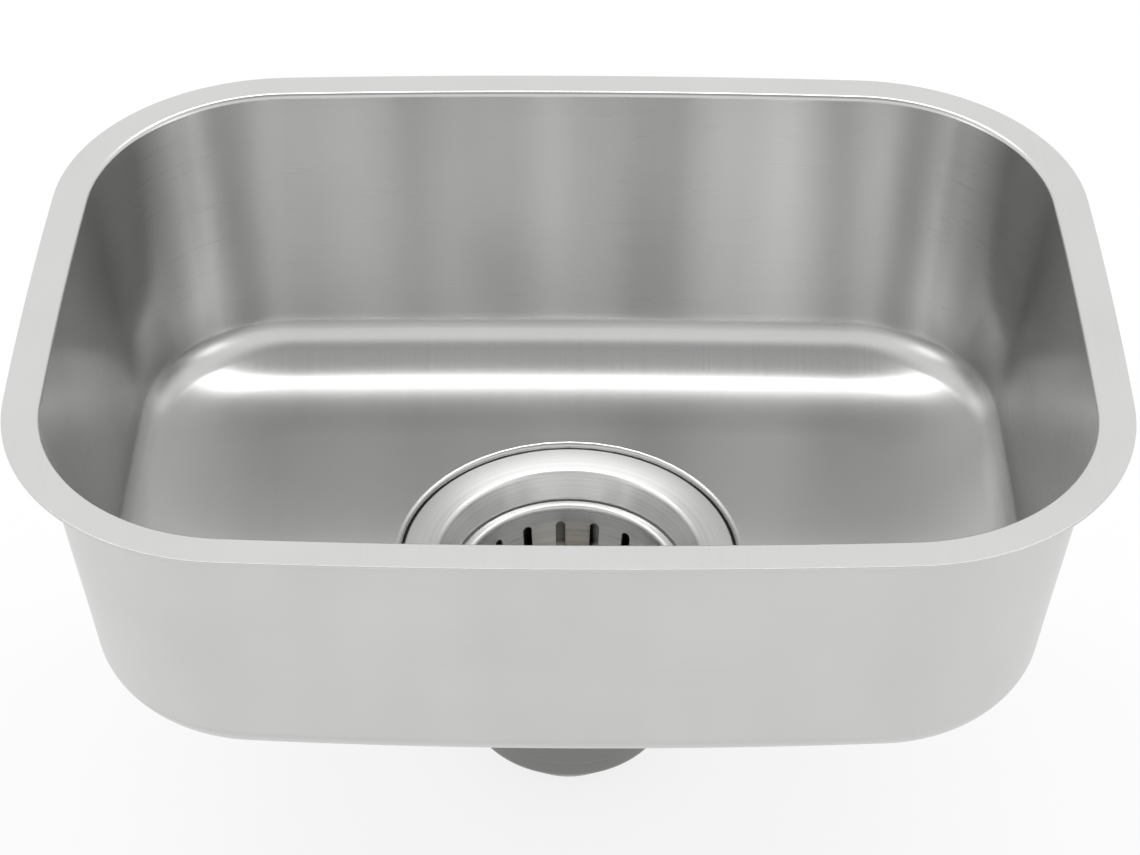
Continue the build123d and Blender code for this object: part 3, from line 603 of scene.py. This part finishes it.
# %% Sealing ring, with a lip of painted shade
GASKET_OUT_R, GAP_EDGE_R, GASKET_EDGE_R = 56.25, 57.8, 0.3
GASKET_SINK = 0.5                       # how far the lip of painted shade stays under the flange's top
SIDE_FIT, TOP_FIT, EDGE_LIFT = 0.03, 0.02, 0.05
lip_top = flange_top(GAP_EDGE_R) - GASKET_SINK
bm = turn_piece([
    (GASKET_IN_R, recess_floor),
    (GAP_EDGE_R, recess_floor + EDGE_LIFT, GASKET_EDGE_R),
    (GAP_EDGE_R, lip_top, GASKET_EDGE_R),
    (FLANGE_R + SIDE_FIT, lip_top),
    (FLANGE_R + SIDE_FIT, flange_top(GASKET_OUT_R) - STRAINER_WALL - SIDE_FIT),
    (GASKET_OUT_R, flange_top(GASKET_OUT_R) - STRAINER_WALL - TOP_FIT),
    (GASKET_IN_R, flange_top(GASKET_IN_R) - STRAINER_WALL - TOP_FIT)])
gasket = make_piece(bm, "sealing_ring_with_shade_lip", "sink", "flange_gasket", slot="black_rubber")

# %% [markdown]
# The basket is pressed from thin sheet and then punched: eighteen tall slots round its wall and a
# ring of holes in its floor. One slot is made flat, as a strip of sheet round a rounded hole, by
# bridging the strip's border to the hole's. Eighteen turned copies close into the wall, and the
# rest of the section grows from its two edges. The floor's holes are made in the same way. A
# boolean cut would give the same holes, but with ragged faces round them for the bevel.

# %% Section of the basket
BASKET_SHEET, BASKET_TOP, BASKET_FLOOR = 0.9, -121.2, -154.7
RIM_R, MOUTH_R, SHOULDER_R, CUP_FOOT_R, BUSH_HOLE_R = 40.3, 37.0, 35.3, 32.0, 6.05
SECTION_START_R, SHOULDER_DROP, CUP_BEND_R = 25.0, 6, 6.0
SLOTS, SLOT_WIDTH, SLOT_LENGTH, SLOT_TOP, SLOT_TURN = 18, 3.4, 17.0, -127.0, 5.2
FLOOR_HOLES, HOLE_R, HOLE_CIRCLE_R = 12, 2.3, 20.0
wire = draw_section([(SECTION_START_R, BASKET_FLOOR),
                     (CUP_FOOT_R, BASKET_FLOOR, CUP_BEND_R),
                     (SHOULDER_R, BASKET_TOP - SHOULDER_DROP, CUP_BEND_R),
                     (MOUTH_R, BASKET_TOP, 1.5),
                     (RIM_R, BASKET_TOP, 0.8),
                     (RIM_R, LEDGE_Z)], step=10)
basket_points = [vert.co.copy() for vert in sorted(wire.verts, key=lambda vert: vert.co.x)]
wire.free()
print("basket section", len(basket_points), "points")


def wall_radius(height):
    """The basket's inside radius at a height between its foot and its mouth."""
    for low, high in zip(basket_points, basket_points[1:]):
        if low.z <= height <= high.z:
            return low.x + (high.x - low.x) * (height - low.z) / (high.z - low.z)


# %% Punched strip


def punched_strip(half_width, half_height, columns, rows, hole_radius, hole_stretch):
    """A flat strip in the XZ plane with one rounded hole in its middle, in mm."""
    bm = bmesh.new()
    count = 2 * (columns + rows)
    flat = Matrix.Rotation(math.pi / 2, 4, "X")
    bmesh.ops.create_grid(bm, x_segments=columns, y_segments=rows, size=1, matrix=flat)
    bmesh.ops.scale(bm, verts=bm.verts, vec=(half_width, 1, half_height))
    inner = [edge for edge in bm.edges if not edge.is_boundary]
    bmesh.ops.delete(bm, geom=bm.faces[:], context="FACES_ONLY")
    bmesh.ops.delete(bm, geom=inner, context="EDGES")
    bmesh.ops.delete(bm, geom=[vert for vert in bm.verts if not vert.link_edges], context="VERTS")
    half_step = Matrix.Rotation(math.pi / count, 4, "Z")
    hole = bmesh.ops.create_circle(bm, cap_ends=False, segments=count, radius=hole_radius,
                                   matrix=flat @ half_step)["verts"]
    for vert in hole:
        vert.co.z += math.copysign(hole_stretch, vert.co.z)
    bmesh.ops.bridge_loops(bm, edges=bm.edges[:])
    return bm


# %% Slotted wall
STRIP_BELOW, STRIP_ABOVE = 2.5, 2.2     # sheet left under and over a slot
NEAR = 0.01                             # mm
band_low, band_high = SLOT_TOP - SLOT_LENGTH - STRIP_BELOW, SLOT_TOP + STRIP_ABOVE
band_middle = (band_low + band_high) / 2
slot_share = 2 * math.pi / SLOTS
middle_r = wall_radius(band_middle * MM) / MM
bm = punched_strip(middle_r * slot_share / 2, (band_high - band_low) / 2, 4, 8, SLOT_WIDTH / 2,
                   (SLOT_LENGTH - SLOT_WIDTH) / 2)
slot_shift = SLOT_TOP - SLOT_LENGTH / 2 - band_middle
first_turn = math.pi / 2 + math.radians(SLOT_TURN)
for vert in bm.verts:
    on_hole = (abs(vert.co.x) < SLOT_WIDTH / 2 + NEAR
               and abs(vert.co.z) < SLOT_LENGTH / 2 + NEAR)
    height = (band_middle + vert.co.z + (slot_shift if on_hole else 0)) * MM
    turn = first_turn - vert.co.x / middle_r
    radius = wall_radius(height)
    vert.co = Vector((radius * math.cos(turn), radius * math.sin(turn), height))
bmesh.ops.spin(bm, geom=bm.verts[:] + bm.edges[:] + bm.faces[:], cent=ORIGIN, axis=UP,
               angle=slot_share * (SLOTS - 1), steps=SLOTS - 1, dvec=ORIGIN, use_duplicate=True)
bmesh.ops.remove_doubles(bm, verts=bm.verts, dist=1e-6)
print("slotted wall", len(bm.faces), "faces", sum(e.is_boundary for e in bm.edges), "open edges")

# %% Rim and foot of the basket
FIRST_STEP = 0.2                        # mm, the least height of the first ring over the slots


def level_loop(bm, height):
    """The boundary edges that lie level at a height in mm."""
    return [edge for edge in bm.edges if edge.is_boundary
            and all(abs(vert.co.z / MM - height) < NEAR for vert in edge.verts)]


def at_radius(edge, radius, reach):
    """Whether both ends of an edge lie within `reach` of a radius in mm."""
    return all(abs(vert.co.xy.length / MM - radius) < reach for vert in edge.verts)


above = [point for point in basket_points
         if point.z / MM > band_high + FIRST_STEP or point.x / MM > MOUTH_R]
below = [point for point in basket_points[::-1]
         if point.z / MM < band_low and point.x / MM < RIM_R]
for height, points in ((band_high, above), (band_low, below)):
    loop = level_loop(bm, height)
    for point in points:
        loop = grow_loop(bm, loop, lambda co: on_circle(co, point.x, point.z))
print("rim and foot", len(above), "and", len(below), "rings")

# %% Punched floor of the basket
PLATE_HALF = 4.2                        # the punched ring reaches this far in and out of its holes
plate = punched_strip(1, PLATE_HALF, 6, 2, HOLE_R, 0)
hole_share = 2 * math.pi / FLOOR_HOLES
for vert in plate.verts:
    border = abs(abs(vert.co.x) - 1) < 1e-4 or abs(abs(vert.co.z) - PLATE_HALF) < 1e-4
    if border:
        radius, turn = HOLE_CIRCLE_R + vert.co.z, vert.co.x * hole_share / 2
        spot = Vector((radius * math.cos(turn), radius * math.sin(turn), 0))
    else:
        spot = Vector((HOLE_CIRCLE_R + vert.co.z, vert.co.x, 0))
    vert.co = (Matrix.Rotation(hole_share / 2, 3, "Z") @ spot) * MM + UP * BASKET_FLOOR * MM
bmesh.ops.spin(plate, geom=plate.verts[:] + plate.edges[:] + plate.faces[:], cent=ORIGIN,
               axis=UP, angle=hole_share * (FLOOR_HOLES - 1), steps=FLOOR_HOLES - 1, dvec=ORIGIN,
               use_duplicate=True)
bmesh.ops.remove_doubles(plate, verts=plate.verts, dist=1e-6)
inner = [edge for edge in plate.edges
         if edge.is_boundary and at_radius(edge, HOLE_CIRCLE_R - PLATE_HALF, NEAR)]
grow_loop(plate, inner, lambda co: on_circle(co, BUSH_HOLE_R * MM, co.z))
floor_mesh = bpy.data.meshes.new("basket_floor")
plate.to_mesh(floor_mesh)
plate.free()
print("punched floor", len(floor_mesh.polygons), "faces")

# %% Join the basket's floor to its wall
JOINT_REACH, BASKET_EDGE = 0.5, 0.15
bm.from_mesh(floor_mesh)
bpy.data.meshes.remove(floor_mesh)
joint_r = (HOLE_CIRCLE_R + PLATE_HALF + SECTION_START_R) / 2
rims = [edge for edge in level_loop(bm, BASKET_FLOOR) if at_radius(edge, joint_r, JOINT_REACH)]
bmesh.ops.bridge_loops(bm, edges=rims)
bmesh.ops.recalc_face_normals(bm, faces=bm.faces)
lowest = min(bm.faces, key=lambda face: face.calc_center_median().z)
if lowest.normal.z < 0:
    bmesh.ops.reverse_faces(bm, faces=bm.faces)
print("basket floor joined", sum(e.is_boundary for e in bm.edges), "open edges")
basket = make_piece(bm, "pressed_basket", "basket", "basket_cup", slot="basket_steel")
give_thickness(basket, BASKET_SHEET, "punched_edge", BASKET_EDGE)

# %% [markdown]
# The small parts keep their CAD shapes and get finishes of their own. Turned steel has its grain
# in rings round the axis, so its highlights are drawn out towards the axis and show as bright
# fans. The rings are a noise that reads only the distance from the axis and the height.

# %% Turned steel
RING_LOW, RING_HIGH = 0.3, 0.7          # most of the noise lies between these
RING_ROUGHER, RING_DARK, RING_LIGHT = 0.04, 0.9, 1.06
RING_HEIGHT, RING_RELIEF = 0.1, 0.08    # mm, and the share of it that shows


def turned_steel(name, colour_hex, darker_hex, darker_below, rough, stretch, rings_per_mm):
    """Steel with a concentric grain round the drain's axis, darker below a height in mm."""
    material, tree, out = new_material(name)
    place = add_node(tree, "ShaderNodeTexCoord")
    spot = add_node(tree, "ShaderNodeSeparateXYZ", None, {0: place.outputs["Object"]})
    square = [add_node(tree, "ShaderNodeMath", {"operation": "MULTIPLY"},
                       {0: spot.outputs[axis], 1: spot.outputs[axis]}) for axis in (0, 1)]
    summed = add_node(tree, "ShaderNodeMath", {"operation": "ADD"},
                      {0: square[0].outputs[0], 1: square[1].outputs[0]})
    radius = add_node(tree, "ShaderNodeMath", {"operation": "SQRT"}, {0: summed.outputs[0]})
    ring_place = add_node(tree, "ShaderNodeCombineXYZ", None,
                          {"X": radius.outputs[0], "Z": spot.outputs[2]})
    rings = add_node(tree, "ShaderNodeTexNoise", None,
                     {"Vector": ring_place.outputs[0], "Scale": rings_per_mm / MM, "Detail": 3.0})
    roughness = add_node(tree, "ShaderNodeMapRange", None,
                         {"Value": rings.outputs[0], "From Min": RING_LOW, "From Max": RING_HIGH,
                          "To Min": rough - RING_ROUGHER, "To Max": rough + RING_ROUGHER})
    tone = add_node(tree, "ShaderNodeMapRange", None,
                    {"Value": rings.outputs[0], "From Min": RING_LOW, "From Max": RING_HIGH,
                     "To Min": RING_DARK, "To Max": RING_LIGHT})
    # Below the given height the colour turns darker; on the strainer this is painted shade in its
    # throat.
    above_darker = add_node(tree, "ShaderNodeMapRange", None,
                        {"Value": spot.outputs[2],
                         "From Min": (darker_below - 1) * MM, "From Max": darker_below * MM})
    base = add_node(tree, "ShaderNodeMix", {"data_type": "RGBA"},
                    {0: above_darker.outputs[0], 6: linear(darker_hex), 7: linear(colour_hex)})
    colour = add_node(tree, "ShaderNodeMix", {"data_type": "RGBA", "blend_type": "MULTIPLY"},
                      {0: 1.0, 6: base.outputs[2], 7: tone.outputs[0]})
    minus_y = add_node(tree, "ShaderNodeMath", {"operation": "MULTIPLY"},
                       {0: spot.outputs[1], 1: -1.0})
    along_ring = add_node(tree, "ShaderNodeCombineXYZ", None,
                          {"X": minus_y.outputs[0], "Y": spot.outputs[0]})
    geometry = add_node(tree, "ShaderNodeNewGeometry")
    across_grain = add_node(tree, "ShaderNodeVectorMath", {"operation": "CROSS_PRODUCT"},
                            {0: geometry.outputs["Normal"], 1: along_ring.outputs[0]})
    bump = add_node(tree, "ShaderNodeBump", None,
                    {"Height": rings.outputs[0], "Strength": RING_RELIEF,
                     "Distance": RING_HEIGHT * MM})
    steel = add_node(tree, "ShaderNodeBsdfPrincipled", None,
                     {"Base Color": colour.outputs[2], "Metallic": 1.0,
                      "Roughness": roughness.outputs[0], "Anisotropic": stretch,
                      "Tangent": across_grain.outputs[0], "Normal": bump.outputs[0]})
    tree.links.new(steel.outputs[0], out.inputs["Surface"])
    return material


# %% [markdown]
# The other small parts are dull: cast brass, moulded rubber and a washer of pressed fibre. None
# of them has a grain with a direction, so one even noise varies their colour and their surface.

# %% Dull materials
SPOT_ROUGHER, SPOT_HEIGHT = 0.08, 0.1   # the height is in mm


def mottled(name, dark, light, rough, metal, grain_mm, relief):
    """A dull material whose colour and surface vary in spots of a size in mm."""
    material, tree, out = new_material(name)
    place = add_node(tree, "ShaderNodeTexCoord")
    spots = add_node(tree, "ShaderNodeTexNoise", None,
                     {"Vector": place.outputs["Object"], "Scale": 1 / (grain_mm * MM),
                      "Detail": 4.0})
    colour = add_node(tree, "ShaderNodeMix", {"data_type": "RGBA"},
                      {0: spots.outputs[0], 6: linear(dark), 7: linear(light)})
    roughness = add_node(tree, "ShaderNodeMapRange", None,
                         {"Value": spots.outputs[0],
                          "To Min": rough - SPOT_ROUGHER, "To Max": rough + SPOT_ROUGHER})
    bump = add_node(tree, "ShaderNodeBump", None,
                    {"Height": spots.outputs[0], "Strength": relief,
                     "Distance": SPOT_HEIGHT * MM})
    body = add_node(tree, "ShaderNodeBsdfPrincipled", None,
                    {"Base Color": colour.outputs[2], "Metallic": metal,
                     "Roughness": roughness.outputs[0], "Normal": bump.outputs[0]})
    tree.links.new(body.outputs[0], out.inputs["Surface"])
    return material


# %% Finishes of the small parts
UNDER_BASKET, UNDER_ALL = -160, -200    # heights in mm; the second lies below every part
finishes = {
    # Turned stainless steel: bright fans and fine rings. Under the ledge its colour is a darker
    # grey, painted shade for the throat that the slots show. Rings are drawn 0.8 mm wide, some
    # five times coarser than real.
    "strainer_steel": turned_steel("turned_stainless_steel", "#DCDCDB", "#828280", LEDGE_Z,
                                   0.3, 0.75, 1.2),
    # Polished stainless steel, pressed: the brightest, with soft fans. Rings are 1.2 mm wide, and
    # coarser than real. The stopper's plate, under the basket, is a shade darker.
    "basket_steel": turned_steel("polished_stainless_steel", "#E0E0DF", "#C8C8C6", UNDER_BASKET,
                                 0.3, 0.5, 0.8),
    # Stainless steel as machined: nuts, washers and the post, greyer and blurred, in rings drawn
    # 0.7 mm wide, coarser than real.
    "fastener_steel": turned_steel("plain_stainless_fasteners", "#B4B4B2", "#B4B4B2", UNDER_ALL,
                                   0.34, 0.4, 1.5),
    # Cast brass, from a sand mould: dull yellow-brown metal with a slightly grainy skin.
    "cast_brass": mottled("cast_brass", "#8F7D52", "#A8966A", 0.42, 1.0, 1.2, 0.3),
    # Moulded rubber: black and matt, with hardly a highlight.
    "black_rubber": mottled("matt_black_rubber", "#0C0C0C", "#161616", 0.7, 0.0, 0.6, 0.2),
    # The stopper's rubber is moulded smoother, so it is a touch paler and shinier.
    "stopper_rubber": mottled("moulded_stopper_rubber", "#121213", "#1C1C1E", 0.6, 0.0, 0.6, 0.2),
    # Pressed paper fibre: grey-brown, flecked and quite dull.
    "grey_fibre": mottled("pressed_fibre", "#5E5344", "#7C6F5C", 0.85, 0.0, 0.4, 0.5),
}
slots = {
    "strainer_steel": ("outlet_ring", "crossbar"),
    "basket_steel": ("knob", "seal_plate"),
    "fastener_steel": ("bush_washer", "bush_nut", "post", "knob_nut", "stop_clip",
                       "seal_retainer", "spring_washer", "post_nut"),
    "cast_brass": ("lock_nut", "guide_bush"),
    "black_rubber": ("rubber_washer", "grip_ring"),
    "stopper_rubber": ("stopper_seal",),
    "grey_fibre": ("fibre_washer",),
}
for slot, names in slots.items():
    for name in names:
        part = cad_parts[name]
        part.data.materials.clear()
        part.data.materials.append(finishes[slot])
    print(slot, "on", ", ".join(names))
for piece, slot in ((strainer, "strainer_steel"), (basket, "basket_steel"),
                    (gasket, "black_rubber")):
    piece.data.materials.append(finishes[slot])
